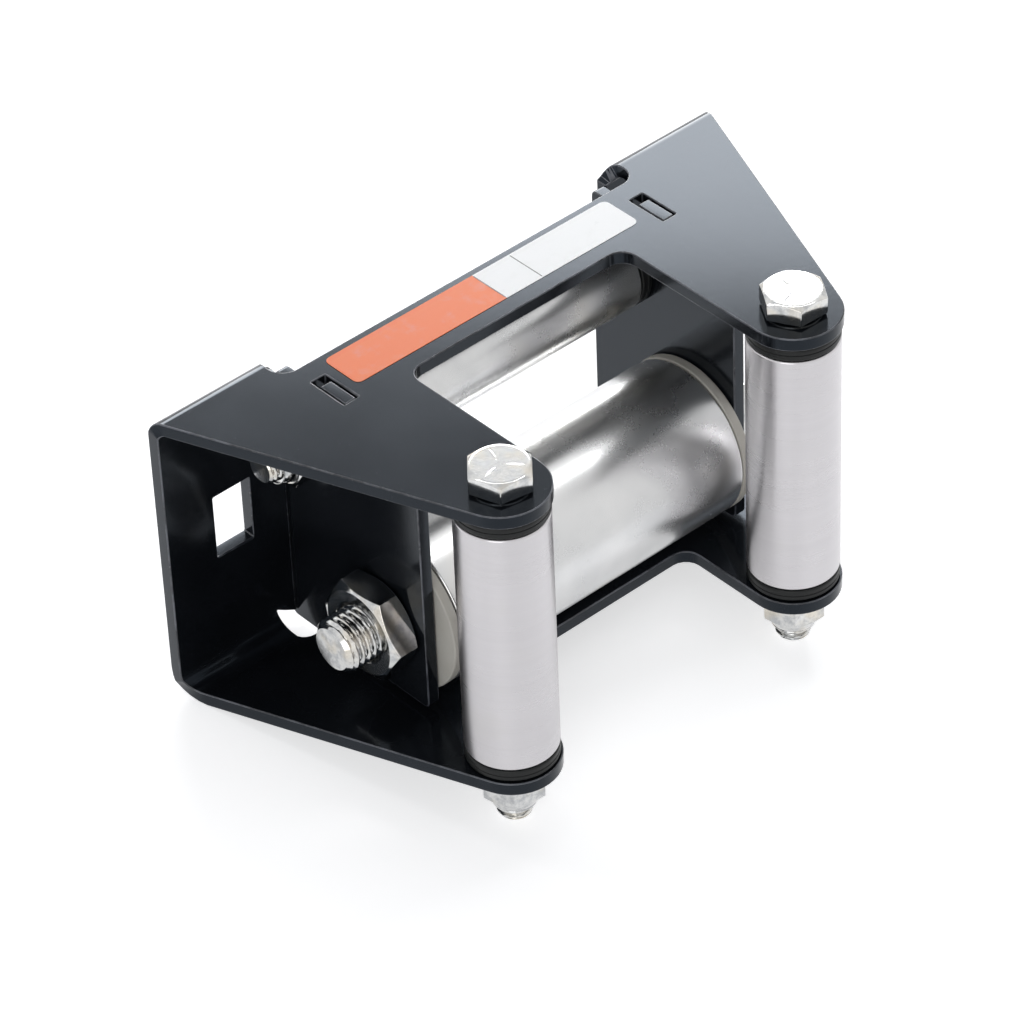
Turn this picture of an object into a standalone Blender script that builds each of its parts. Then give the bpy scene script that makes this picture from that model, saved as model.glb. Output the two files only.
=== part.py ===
# Roller fairlead for a small winch: a bracket folded from plate, two side plates tabbed into it,
# a pair of vertical rollers in front, and a large and a small horizontal roller behind them.
#
# Metres. X points right, Y to the rear and Z up. The origin lies on the mounting plane, midway
# between the two mounting slots and level with their centres.

import bpy
import bmesh
from math import atan2, cos, pi, radians, sin, tan

# Bracket, folded from one blank of plate
BRACKET_WIDTH = 0.1594
BRACKET_HEIGHT = 0.0760
SHEET = 0.0032
TOP_BEND_INNER = 0.0008
BOTTOM_BEND_INNER = 0.0048
NEUTRAL_FACTOR = 0.44
BAR_SETBACK = 0.0091
TOP_BAR_DEPTH = 0.0170
BOTTOM_BAR_DEPTH = 0.0354
WINDOW_CORNER = 0.0040
WING_WIDTH = 0.0325
EAR_RIM = 0.0005
TAPER_ANGLE = radians(21.8)

# Bend reliefs where the wings end: a round one at the top, a pointed one at the wide bottom bend
TOP_RELIEF_REACH = 0.0036
BOTTOM_RELIEF_REACH = 0.0051
BOTTOM_RELIEF_RISE = 0.0013
BOTTOM_RELIEF_SHOULDER = 0.0020
BOTTOM_RELIEF_CORNER = 0.0032

# Mounting slots in the wings
MOUNT_EDGE = 0.0178
MOUNT_SLOT_WIDTH = 0.0099
MOUNT_SLOT_HEIGHT = 0.0162
MOUNT_SLOT_DROP = 0.0349

# Side plates and their tabs
PLATE = 0.0030
PLATE_FRONT_REACH = 0.0131
PLATE_REAR_SETBACK = 0.0018
PLATE_BOTTOM_ROOM = 0.0017
PLATE_TOP_ROOM = 0.0008
PLATE_CORNER = 0.0015
TAB_SETBACK = 0.0170
TAB_LENGTH = 0.0080
TAB_SINK = 0.0002
TAB_SIDE_PLAY = 0.00045
TAB_REAR_PLAY = 0.0024

# Rollers
SMALL_ROLLER = 0.0206
SMALL_TUBE_WALL = 0.0026
LARGE_ROLLER = 0.0378
LARGE_TUBE_WALL = 0.0030
ROLLER_CHAMFER = 0.0004

# Flanged bushings
SMALL_BUSHING_FLANGE = 0.0028
SMALL_BUSHING_SLEEVE = 0.0090
LARGE_BUSHING_FLANGE = 0.0024
LARGE_BUSHING_SLEEVE = 0.0120

# Where the rollers stand
VERTICAL_INSET = 0.0023
LARGE_SETBACK = 0.0335
LARGE_FLOOR_ROOM = 0.0007
ROW_GAP = 0.0045
UPPER_HEADROOM = 0.0046
UPPER_REAR_ROOM = 0.00035

# Bolts and nuts
SMALL_BOLT = 0.0080
SMALL_HEX = 0.0132
SMALL_HEAD = 0.0050
SMALL_NUT = 0.0066
SMALL_COLLAR = 0.0034
SMALL_TIP_CHAMFER = 0.0005
LARGE_BOLT = 0.0128
LARGE_HEX = 0.0213
LARGE_HEAD = 0.0080
LARGE_NUT = 0.0056
LARGE_TIP_CHAMFER = 0.0011
VERTICAL_TIP = 0.0036
UPPER_TIP = 0.0027
LARGE_TIP = 0.0090
WASHER_FACE = 0.0004
HEX_CHAMFER = radians(28)
HEX_FACE_SHARE = 0.95
COLLAR_SHARE = 0.92
COLLAR_ROUND = 0.0012

# How far each hexagon is turned on its bolt, from a corner that points right or down
LEFT_HEX_TURN = radians(49)
RIGHT_HEX_TURN = radians(58)
LEVEL_HEX_TURN = radians(30)

# Clearances
SEAT_GAP = 0.0003
HOLE_PLAY = 0.0003

# Facets
ROLLER_STEPS = 48
HEX_SIDE_STEPS = 4
HOLE_STEPS = 32
BEND_STEPS = 6
CORNER_STEPS = 5
EAR_STEPS = 20
SMOOTH_ANGLE = radians(32)
ON_PLANE = 0.000001

# Places that follow from the sizes above
HALF_WIDTH = BRACKET_WIDTH / 2
MOUNT_X = HALF_WIDTH - MOUNT_EDGE
WING_INNER_X = HALF_WIDTH - WING_WIDTH
PLATE_OUTER_X = WING_INNER_X - SEAT_GAP
PLATE_INNER_X = PLATE_OUTER_X - PLATE
PLATE_SPAN = 2 * PLATE_INNER_X
TOP_Z = MOUNT_SLOT_DROP
BOTTOM_Z = TOP_Z - BRACKET_HEIGHT
SMALL_RADIUS = SMALL_ROLLER / 2
LARGE_RADIUS = LARGE_ROLLER / 2
SMALL_HEX_CORNER = SMALL_HEX / 2 / cos(pi / 6)
EAR_RADIUS = SMALL_RADIUS + EAR_RIM
VERTICAL_X = PLATE_INNER_X - VERTICAL_INSET
VERTICAL_Y = -(LARGE_SETBACK + LARGE_RADIUS + ROW_GAP + SMALL_RADIUS)
LARGE_Y = -LARGE_SETBACK
LARGE_Z = BOTTOM_Z + SHEET + LARGE_FLOOR_ROOM + LARGE_RADIUS
UPPER_Y = -(max(SMALL_RADIUS, SHEET + SMALL_HEX_CORNER) + UPPER_REAR_ROOM)
UPPER_Z = TOP_Z - SHEET - UPPER_HEADROOM - SMALL_RADIUS


def clearScene():
    for oldObject in list(bpy.data.objects):
        bpy.data.objects.remove(oldObject, do_unlink=True)


def makeMaterial(name, color, roughness, metallic):
    material = bpy.data.materials.new(name)
    material.use_nodes = True
    shader = material.node_tree.nodes["Principled BSDF"]
    shader.inputs["Base Color"].default_value = (*color, 1.0)
    shader.inputs["Roughness"].default_value = roughness
    shader.inputs["Metallic"].default_value = metallic
    return material


# Turns a finished bmesh into an object with its material.
def addObject(name, shape, material):
    bmesh.ops.recalc_face_normals(shape, faces=shape.faces)
    mesh = bpy.data.meshes.new(name)
    shape.to_mesh(mesh)
    shape.free()
    mesh.materials.append(material)
    mesh.shade_smooth()
    mesh.set_sharp_from_angle(angle=SMOOTH_ANGLE)
    piece = bpy.data.objects.new(name, mesh)
    bpy.context.scene.collection.objects.link(piece)
    return piece


# Points on an arc with both ends included.
def arc(center, radius, start, end, steps):
    turn = (end - start) / steps
    angles = [start + turn * i for i in range(steps + 1)]
    return [(center[0] + radius * cos(a), center[1] + radius * sin(a)) for a in angles]


def circle(center, radius, steps):
    return arc(center, radius, 0, 2 * pi, steps)[:-1]


def rectangle(center, width, height):
    x, y = center
    across = width / 2
    along = height / 2
    return [(x - across, y - along), (x + across, y - along), (x + across, y + along), (x - across, y + along)]


# A slab between heights zero and the thickness, from an outer loop and the loops of its holes.
def slab(loops, thickness):
    shape = bmesh.new()
    edges = []
    for loop in loops:
        points = [shape.verts.new((x, y, 0)) for x, y in loop]
        edges += [shape.edges.new((points[i - 1], points[i])) for i in range(len(points))]
    bmesh.ops.triangle_fill(shape, use_beauty=True, edges=edges)
    raised = bmesh.ops.extrude_face_region(shape, geom=shape.faces[:])["geom"]
    raisedPoints = [item for item in raised if isinstance(item, bmesh.types.BMVert)]
    bmesh.ops.translate(shape, vec=(0, 0, thickness), verts=raisedPoints)
    return shape


# Bracket. The blank lies flat with X across and its run along Y; the wing's own stretch of the
# run is its height, so the run there equals Z.


class Bend:
    # One fold between the wings and a flange; side is 1 for the top flange and -1 for the bottom.
    def __init__(self, side, flangeZ, innerRadius):
        self.side = side
        self.flangeZ = flangeZ
        self.outer = innerRadius + SHEET
        self.length = (innerRadius + NEUTRAL_FACTOR * SHEET) * pi / 2
        self.start = flangeZ - side * self.outer
        self.end = self.start + side * self.length

    # Where a place on the flange, given by its Y, lies on the blank.
    def run(self, y):
        return self.end - self.side * (y + self.outer)

    # Y and Z of a point of the blank, measured past the start of the bend.
    def fold(self, past, depth):
        if past > self.length:
            return -self.outer - (past - self.length), self.flangeZ - self.side * depth
        angle = past / self.length * pi / 2
        reach = self.outer - depth
        return -self.outer + reach * cos(angle), self.start + self.side * reach * sin(angle)


TOP_BEND = Bend(1, TOP_Z, TOP_BEND_INNER)
BOTTOM_BEND = Bend(-1, BOTTOM_Z, BOTTOM_BEND_INNER)


def mirrored(points):
    return [(-x, run) for x, run in reversed(points)]


# One flange's edge from the right wing over the ear, the window and the other ear to the left wing.
def flangeEdge(bend, barDepth):
    ear = (VERTICAL_X, VERTICAL_Y)
    touch = arc(ear, EAR_RADIUS, -TAPER_ANGLE, -pi, EAR_STEPS)
    taperStartY = touch[0][1] + (HALF_WIDTH - touch[0][0]) / tan(TAPER_ANGLE)
    corner = (VERTICAL_X - EAR_RADIUS - WINDOW_CORNER, -BAR_SETBACK - barDepth - WINDOW_CORNER)
    window = arc(corner, WINDOW_CORNER, 0, pi / 2, CORNER_STEPS)
    half = [(x, bend.run(y)) for x, y in [(HALF_WIDTH, taperStartY)] + touch + window]
    return half + mirrored(half)


# The rear opening's edge at the top bend: a round relief beside each wing and the bar between them.
def topReliefEdge():
    start = TOP_BEND.start
    barEdge = TOP_BEND.run(-BAR_SETBACK)
    halfChord = (barEdge - start) / 2
    radius = (halfChord ** 2 + TOP_RELIEF_REACH ** 2) / (2 * TOP_RELIEF_REACH)
    center = (WING_INNER_X + TOP_RELIEF_REACH - radius, (start + barEdge) / 2)
    sweep = atan2(halfChord, radius - TOP_RELIEF_REACH)
    half = arc(center, radius, -sweep, sweep, CORNER_STEPS * 2)
    return half + mirrored(half)


# The same at the bottom bend, where each relief runs out to a point in its wing.
def bottomReliefEdge():
    start = BOTTOM_BEND.start
    barEdge = BOTTOM_BEND.run(-BAR_SETBACK)
    shoulder = (WING_INNER_X, start - BOTTOM_RELIEF_SHOULDER)
    tip = (WING_INNER_X + BOTTOM_RELIEF_REACH, start + BOTTOM_RELIEF_RISE)
    corner = (WING_INNER_X, barEdge + BOTTOM_RELIEF_CORNER)
    half = [shoulder, tip] + arc(corner, BOTTOM_RELIEF_CORNER, 0, -pi / 2, CORNER_STEPS)
    return half + mirrored(half)


def bracketBlank():
    outline = flangeEdge(TOP_BEND, TOP_BAR_DEPTH) + flangeEdge(BOTTOM_BEND, BOTTOM_BAR_DEPTH)[::-1]
    opening = topReliefEdge() + bottomReliefEdge()[::-1]
    loops = [outline, opening]
    tabSlotLength = HOLE_PLAY + TAB_LENGTH + TAB_REAR_PLAY
    tabSlotY = -TAB_SETBACK - TAB_LENGTH - HOLE_PLAY + tabSlotLength / 2
    for side in (-1, 1):
        loops.append(rectangle((side * MOUNT_X, 0), MOUNT_SLOT_WIDTH, MOUNT_SLOT_HEIGHT))
        tabX = side * (PLATE_INNER_X + PLATE / 2)
        for bend in (TOP_BEND, BOTTOM_BEND):
            bolt = (side * VERTICAL_X, bend.run(VERTICAL_Y))
            loops.append(circle(bolt, SMALL_BOLT / 2 + HOLE_PLAY, HOLE_STEPS))
            loops.append(rectangle((tabX, bend.run(tabSlotY)), PLATE + 2 * TAB_SIDE_PLAY, tabSlotLength))
    return loops


def makeBracket(material):
    shape = slab(bracketBlank(), SHEET)
    for bend in (TOP_BEND, BOTTOM_BEND):
        for i in range(BEND_STEPS + 1):
            run = bend.start + bend.side * bend.length * i / BEND_STEPS
            whole = shape.verts[:] + shape.edges[:] + shape.faces[:]
            bmesh.ops.bisect_plane(shape, geom=whole, dist=ON_PLANE, plane_co=(0, run, 0), plane_no=(0, 1, 0))
    for point in shape.verts:
        x, run, depth = point.co
        if run > TOP_BEND.start:
            point.co = (x, *TOP_BEND.fold(run - TOP_BEND.start, depth))
        elif run < BOTTOM_BEND.start:
            point.co = (x, *BOTTOM_BEND.fold(BOTTOM_BEND.start - run, depth))
        else:
            point.co = (x, -depth, run)
    return addObject("bracket", shape, material)


# Side plates, cut flat in Y and Z and stood on edge between the flanges.


def plateOutline():
    low = BOTTOM_Z + SHEET + PLATE_BOTTOM_ROOM
    high = TOP_Z - SHEET - PLATE_TOP_ROOM
    front = LARGE_Y - PLATE_FRONT_REACH + PLATE_CORNER
    rear = -PLATE_REAR_SETBACK - PLATE_CORNER
    tabRear = -TAB_SETBACK
    tabFront = tabRear - TAB_LENGTH
    tabLow = BOTTOM_Z + TAB_SINK
    tabHigh = TOP_Z - TAB_SINK
    outline = arc((front, low + PLATE_CORNER), PLATE_CORNER, pi, pi * 3 / 2, CORNER_STEPS)
    outline += [(tabFront, low), (tabFront, tabLow), (tabRear, tabLow), (tabRear, low)]
    outline += arc((rear, low + PLATE_CORNER), PLATE_CORNER, -pi / 2, 0, CORNER_STEPS)
    outline += arc((rear, high - PLATE_CORNER), PLATE_CORNER, 0, pi / 2, CORNER_STEPS)
    outline += [(tabRear, high), (tabRear, tabHigh), (tabFront, tabHigh), (tabFront, high)]
    outline += arc((front, high - PLATE_CORNER), PLATE_CORNER, pi / 2, pi, CORNER_STEPS)
    return outline


def makeSidePlate(name, innerX, outerX, material):
    largeHole = circle((LARGE_Y, LARGE_Z), LARGE_BOLT / 2 + HOLE_PLAY, HOLE_STEPS)
    smallHole = circle((UPPER_Y, UPPER_Z), SMALL_BOLT / 2 + HOLE_PLAY, HOLE_STEPS)
    shape = slab([plateOutline(), largeHole, smallHole], PLATE)
    for point in shape.verts:
        y, z, depth = point.co
        point.co = (min(innerX, outerX) + depth, y, z)
    return addObject(name, shape, material)


# Turned pieces and hexagons are stacks of rings along Z, skinned into one closed body.


def roundRing(radius, height, steps=6 * HEX_SIDE_STEPS):
    return [(x, y, height) for x, y in circle((0, 0), radius, steps)]


# A ring on a hexagon's walls, which a cone cuts lower at the corners; the cut is 1 at the top of
# a hexagon, -1 at its underside and 0 for a plain edge.
def hexRing(acrossFlats, height, cut):
    ring = []
    flat = acrossFlats / 2
    for k in range(6 * HEX_SIDE_STEPS):
        fromFlat = (k % HEX_SIDE_STEPS) / HEX_SIDE_STEPS * pi / 3 - pi / 6
        radius = flat / cos(fromFlat)
        drop = (radius - flat * HEX_FACE_SHARE) * tan(HEX_CHAMFER)
        angle = k / HEX_SIDE_STEPS * pi / 3
        ring.append((radius * cos(angle), radius * sin(angle), height - cut * drop))
    return ring


def skin(rings, hollow):
    shape = bmesh.new()
    loops = [[shape.verts.new(point) for point in ring] for ring in rings]
    pairs = list(zip(loops, loops[1:]))
    if hollow:
        pairs.append((loops[-1], loops[0]))
    else:
        shape.faces.new(loops[0])
        shape.faces.new(loops[-1])
    for low, high in pairs:
        for k in range(len(low)):
            shape.faces.new((low[k - 1], low[k], high[k], high[k - 1]))
    return shape


def rollerShape(radius, wall, length):
    half = length / 2
    bore = radius - wall
    edge = radius - ROLLER_CHAMFER
    profile = [(bore, -half), (edge, -half), (radius, ROLLER_CHAMFER - half)]
    profile += [(radius, half - ROLLER_CHAMFER), (edge, half), (bore, half)]
    return skin([roundRing(r, z, ROLLER_STEPS) for r, z in profile], True)


# The outer face of the bushing's flange is at zero and its sleeve points along Z.
def bushingShape(radius, sleeveRadius, bore, flange, sleeve):
    profile = [(bore, 0), (radius, 0), (radius, flange), (sleeveRadius, flange)]
    profile += [(sleeveRadius, flange + sleeve), (bore, flange + sleeve)]
    return skin([roundRing(r, z, ROLLER_STEPS) for r, z in profile], True)


# The head's seat is at zero, the shank points down and the head up.
def boltShape(diameter, acrossFlats, head, length, tipChamfer):
    radius = diameter / 2
    face = acrossFlats / 2 * HEX_FACE_SHARE
    rings = [roundRing(radius - tipChamfer, -length), roundRing(radius, tipChamfer - length)]
    rings += [roundRing(radius, 0), roundRing(face, 0), roundRing(face, WASHER_FACE)]
    rings += [hexRing(acrossFlats, WASHER_FACE, 0), hexRing(acrossFlats, head, 1), roundRing(face, head)]
    return skin(rings, False)


# The nut's seat is at zero and it points down, with a round locking collar if it has one.
def nutShape(bore, acrossFlats, height, collar):
    face = acrossFlats / 2 * HEX_FACE_SHARE
    rings = [roundRing(bore, 0), roundRing(face, 0), hexRing(acrossFlats, 0, 1)]
    rings += [hexRing(acrossFlats, -height, -1), roundRing(face, -height)]
    if collar:
        collarRadius = acrossFlats / 2 * COLLAR_SHARE
        end = -height - collar
        rings += [roundRing(collarRadius, -height), roundRing(collarRadius, end + COLLAR_ROUND)]
        rings += [roundRing(collarRadius - COLLAR_ROUND, end), roundRing(bore, end)]
    else:
        rings.append(roundRing(bore, -height))
    return skin(rings, True)


# A small roller's fittings and the large one's, as the sizes that one kind of roller shares.
SMALL_KIND = {
    "radius": SMALL_RADIUS, "wall": SMALL_TUBE_WALL,
    "flange": SMALL_BUSHING_FLANGE, "sleeve": SMALL_BUSHING_SLEEVE,
    "bolt": SMALL_BOLT, "hex": SMALL_HEX, "head": SMALL_HEAD,
    "nut": SMALL_NUT, "collar": SMALL_COLLAR, "chamfer": SMALL_TIP_CHAMFER,
}
LARGE_KIND = {
    "radius": LARGE_RADIUS, "wall": LARGE_TUBE_WALL,
    "flange": LARGE_BUSHING_FLANGE, "sleeve": LARGE_BUSHING_SLEEVE,
    "bolt": LARGE_BOLT, "hex": LARGE_HEX, "head": LARGE_HEAD,
    "nut": LARGE_NUT, "collar": 0, "chamfer": LARGE_TIP_CHAMFER,
}


# An empty on a roller's axis carries its pieces: Z runs from the nut's end to the head's end.
def makeAxis(name, center, level):
    axis = bpy.data.objects.new(name, None)
    axis.location = center
    axis.rotation_euler = (0, pi / 2, 0) if level else (0, 0, 0)
    bpy.context.scene.collection.objects.link(axis)
    return axis


# One roller with its bushings, bolt and nut, between two walls whose inner faces are span apart.
def makeRollerSet(name, ends, axis, kind, span, wall, tip, turns, materials):
    halfSpan = span / 2
    bore = kind["bolt"] / 2 + HOLE_PLAY
    sleeveRadius = kind["radius"] - kind["wall"] - HOLE_PLAY
    rollerLength = span - 2 * (2 * SEAT_GAP + kind["flange"])
    seat = halfSpan + wall + SEAT_GAP
    boltLength = 2 * seat + kind["nut"] + kind["collar"] + tip

    roller = addObject(
        name + "_roller", rollerShape(kind["radius"], kind["wall"], rollerLength), materials["roller"])
    roller.parent = axis
    for end, side in zip(ends, (-1, 1)):
        shape = bushingShape(kind["radius"], sleeveRadius, bore, kind["flange"], kind["sleeve"])
        bushing = addObject(name + "_bushing_" + end, shape, materials["bushing"])
        bushing.parent = axis
        bushing.location.z = side * (halfSpan - SEAT_GAP)
        bushing.rotation_euler.x = pi if side > 0 else 0

    headTurn, nutTurn = turns
    shape = boltShape(kind["bolt"], kind["hex"], kind["head"], boltLength, kind["chamfer"])
    bolt = addObject(name + "_bolt", shape, materials["bolt"])
    bolt.parent = axis
    bolt.location.z = seat
    bolt.rotation_euler.z = headTurn
    nut = addObject(name + "_nut", nutShape(bore, kind["hex"], kind["nut"], kind["collar"]), materials["nut"])
    nut.parent = axis
    nut.location.z = -seat
    nut.rotation_euler.z = nutTurn


def makeRollers(blackPlastic, creamPlastic, steel, zinc):
    small = {"roller": steel, "bushing": blackPlastic, "bolt": zinc, "nut": zinc}
    large = {"roller": zinc, "bushing": creamPlastic, "bolt": zinc, "nut": zinc}
    upright = ("bottom", "top")
    level = ("left", "right")
    flangeSpan = BRACKET_HEIGHT - 2 * SHEET
    flangeMiddle = TOP_Z - BRACKET_HEIGHT / 2

    left = makeAxis("vertical_left_axis", (-VERTICAL_X, VERTICAL_Y, flangeMiddle), False)
    turns = (LEFT_HEX_TURN, LEFT_HEX_TURN)
    makeRollerSet("vertical_left", upright, left, SMALL_KIND, flangeSpan, SHEET, VERTICAL_TIP, turns, small)

    right = makeAxis("vertical_right_axis", (VERTICAL_X, VERTICAL_Y, flangeMiddle), False)
    turns = (RIGHT_HEX_TURN, LEFT_HEX_TURN)
    makeRollerSet("vertical_right", upright, right, SMALL_KIND, flangeSpan, SHEET, VERTICAL_TIP, turns, small)

    turns = (LEVEL_HEX_TURN, LEVEL_HEX_TURN)
    lower = makeAxis("lower_axis", (0, LARGE_Y, LARGE_Z), True)
    makeRollerSet("lower", level, lower, LARGE_KIND, PLATE_SPAN, PLATE, LARGE_TIP, turns, large)

    upper = makeAxis("upper_axis", (0, UPPER_Y, UPPER_Z), True)
    makeRollerSet("upper", level, upper, SMALL_KIND, PLATE_SPAN, PLATE, UPPER_TIP, turns, small)


def main():
    clearScene()
    blackCoat = makeMaterial("black_coat", (0.012, 0.012, 0.014), 0.35, 0.0)
    steel = makeMaterial("turned_steel", (0.52, 0.52, 0.54), 0.38, 1.0)
    zinc = makeMaterial("zinc_plate", (0.62, 0.62, 0.60), 0.22, 1.0)
    blackPlastic = makeMaterial("black_plastic", (0.02, 0.02, 0.022), 0.5, 0.0)
    creamPlastic = makeMaterial("cream_plastic", (0.72, 0.66, 0.52), 0.5, 0.0)
    makeBracket(blackCoat)
    makeSidePlate("left_side_plate", -PLATE_INNER_X, -PLATE_OUTER_X, blackCoat)
    makeSidePlate("right_side_plate", PLATE_INNER_X, PLATE_OUTER_X, blackCoat)
    makeRollers(blackPlastic, creamPlastic, steel, zinc)


main()
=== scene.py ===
import math

import bmesh
import bpy
from mathutils import Matrix, Vector


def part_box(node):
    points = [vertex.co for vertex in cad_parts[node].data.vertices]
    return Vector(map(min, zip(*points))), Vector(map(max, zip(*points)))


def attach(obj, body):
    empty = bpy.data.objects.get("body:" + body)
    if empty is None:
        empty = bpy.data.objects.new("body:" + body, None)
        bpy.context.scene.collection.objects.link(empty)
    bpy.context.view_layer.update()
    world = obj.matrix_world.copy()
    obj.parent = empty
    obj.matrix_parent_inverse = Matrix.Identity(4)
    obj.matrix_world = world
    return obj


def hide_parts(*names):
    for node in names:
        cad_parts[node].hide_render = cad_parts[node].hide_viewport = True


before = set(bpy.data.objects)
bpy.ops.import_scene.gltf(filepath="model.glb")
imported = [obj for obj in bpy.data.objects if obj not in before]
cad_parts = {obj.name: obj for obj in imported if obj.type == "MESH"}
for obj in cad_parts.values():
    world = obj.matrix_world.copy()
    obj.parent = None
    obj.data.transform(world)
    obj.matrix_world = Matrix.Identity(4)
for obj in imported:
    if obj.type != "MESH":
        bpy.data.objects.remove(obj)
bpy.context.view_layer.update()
scene = bpy.context.scene
mm = 0.001
print("frame loaded,", len(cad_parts), "solids")


# Node trees. Value wraps one socket, so sums on it add Math nodes; Tree makes every other node.

class Value:
    def __init__(self, tree, socket):
        self.tree = tree
        self.socket = socket

    def pair(self, operation, first, second):
        made = self.tree.node("ShaderNodeMath", {"operation": operation}, {0: first, 1: second})
        return Value(self.tree, made.outputs[0])

    def __add__(self, other):
        return self.pair("ADD", self, other)

    __radd__ = __add__

    def __sub__(self, other):
        return self.pair("SUBTRACT", self, other)

    def __rsub__(self, other):
        return self.pair("SUBTRACT", other, self)

    def __mul__(self, other):
        return self.pair("MULTIPLY", self, other)

    __rmul__ = __mul__

    def __truediv__(self, other):
        return self.pair("DIVIDE", self, other)

    def __gt__(self, other):
        return self.pair("GREATER_THAN", self, other)

    def __lt__(self, other):
        return self.pair("LESS_THAN", self, other)

    def low(self, other):
        return self.pair("MINIMUM", self, other)

    def high(self, other):
        return self.pair("MAXIMUM", self, other)

    def one(self, operation):
        return self.pair(operation, self, 0.0)


class Tree:
    def __init__(self, tree):
        self.tree = tree
        self.tree.nodes.clear()

    # settings come first, because some of them change which sockets there are
    def node(self, kind, settings=None, inputs=None):
        made = self.tree.nodes.new(kind)
        for name, value in (settings or {}).items():
            setattr(made, name, value)
        for name, value in (inputs or {}).items():
            self.feed(made.inputs[name], value)
        return made

    def feed(self, socket, value):
        if isinstance(value, Value):
            self.tree.links.new(value.socket, socket)
        elif isinstance(value, bpy.types.NodeSocket):
            self.tree.links.new(value, socket)
        else:
            socket.default_value = value

    def value(self, made, output=0):
        return Value(self, made.outputs[output])

    # 1 for rays that see the white surroundings themselves, 0 for those that only bring light
    def seenPlainly(self):
        rays = self.node("ShaderNodeLightPath")
        plain = self.value(rays, "Is Camera Ray").high(self.value(rays, "Is Glossy Ray"))
        return plain.high(self.value(rays, "Is Transmission Ray"))


# where a Mix node keeps its sockets for colours
mixSockets = {"share": 0, "first": 6, "second": 7, "result": 2}


class Finish(Tree):
    def __init__(self, name):
        self.material = bpy.data.materials.new(name)
        self.material.use_nodes = True
        super().__init__(self.material.node_tree)
        self.place = self.node("ShaderNodeTexCoord").outputs["Object"]

    # the piece's own place, stretched or turned so that a pattern runs along it
    def stretched(self, scale, turn=(0, 0, 0)):
        made = self.node("ShaderNodeMapping", {}, {"Vector": self.place, "Rotation": turn, "Scale": scale})
        return made.outputs[0]

    def noise(self, scale, detail=3.0, roughness=0.5, vector=None):
        inputs = {"Vector": vector or self.place, "Scale": scale, "Detail": detail, "Roughness": roughness}
        return self.value(self.node("ShaderNodeTexNoise", {}, inputs), "Fac")

    # 0 below the first number and 1 above the second
    def step(self, value, start, end):
        inputs = {"Value": value, "From Min": start, "From Max": end}
        return self.value(self.node("ShaderNodeMapRange", {"interpolation_type": "SMOOTHSTEP"}, inputs))

    def mix(self, share, first, second):
        made = self.node("ShaderNodeMix", {"data_type": "RGBA"}, {
            mixSockets["share"]: share, mixSockets["first"]: self.color(first),
            mixSockets["second"]: self.color(second),
        })
        return made.outputs[mixSockets["result"]]

    def color(self, value):
        return (*value, 1.0) if isinstance(value, tuple) else value

    def bump(self, height, distance, normal=None):
        inputs = {"Height": height, "Distance": distance, "Strength": 1.0}
        if normal:
            inputs["Normal"] = normal
        return self.node("ShaderNodeBump", {}, inputs).outputs[0]

    def surface(self, inputs):
        shader = self.node("ShaderNodeBsdfPrincipled", {}, inputs)
        self.node("ShaderNodeOutputMaterial", {}, {"Surface": shader.outputs[0]})
        return self.material


# Finishes

coatLook = {
    "dark": (0.0066, 0.0078, 0.0100), "pale": (0.0100, 0.0116, 0.0146), "dust": (0.12, 0.12, 0.13),
    "roughness": 0.10, "index": 1.5, "gloss": 0.29, "glossTint": (0.66, 0.81, 1.0, 1.0),
    "broadScale": 45, "broadRange": (0.35, 0.7), "broadRough": 0.045, "fineScale": 1500, "fineRough": 0.02,
    "speckScale": 2600, "speckRange": (0.76, 0.82), "speckShare": 0.12, "speckRough": 0.15,
    "scratchScale": 60, "scratchStretch": (1.0, 14.0, 9.0), "scratchTurn": (0, 0, 0.5),
    "scratchRange": (0.70, 0.74), "scratchPatches": (0.50, 0.62), "scratchShare": 0.10,
    "scratchRough": 0.10, "peelScale": 620, "peelDepth": 0.003 * mm,
    "edgeDark": (0.020, 0.023, 0.030), "edgePaintedHighlight": (0.150, 0.160, 0.185), "edgeRoughness": 0.24,
    "rubAndHighlightScale": 110, "rubAndHighlightRange": (0.34, 0.66),
    "nickScale": 900, "nickRange": (0.60, 0.74), "nickShare": 0.4, "nickRough": 0.12,
}


def makeCoat():
    look = coatLook
    finish = Finish("blackCoat")
    broad = finish.noise(look["broadScale"], detail=4)
    fine = finish.noise(look["fineScale"], detail=2)
    specks = finish.step(finish.noise(look["speckScale"], detail=1, roughness=0.4), *look["speckRange"])
    slanted = finish.stretched(look["scratchStretch"], look["scratchTurn"])
    across = finish.noise(look["scratchScale"], detail=5, roughness=0.65, vector=slanted)
    scratches = finish.step(across, *look["scratchRange"]) * finish.step(broad, *look["scratchPatches"])
    color = finish.mix(finish.step(broad, *look["broadRange"]), look["dark"], look["pale"])
    color = finish.mix(specks * look["speckShare"] + scratches * look["scratchShare"], color, look["dust"])
    roughness = look["roughness"] + broad * look["broadRough"] + scratches * look["scratchRough"]
    roughness = roughness + specks * look["speckRough"] + fine * look["fineRough"]
    peel = finish.bump(finish.noise(look["peelScale"], detail=2), look["peelDepth"])
    return finish.surface({
        "Base Color": color, "Roughness": roughness, "Normal": peel, "IOR": look["index"],
        "Specular IOR Level": look["gloss"], "Specular Tint": look["glossTint"],
    })


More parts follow.
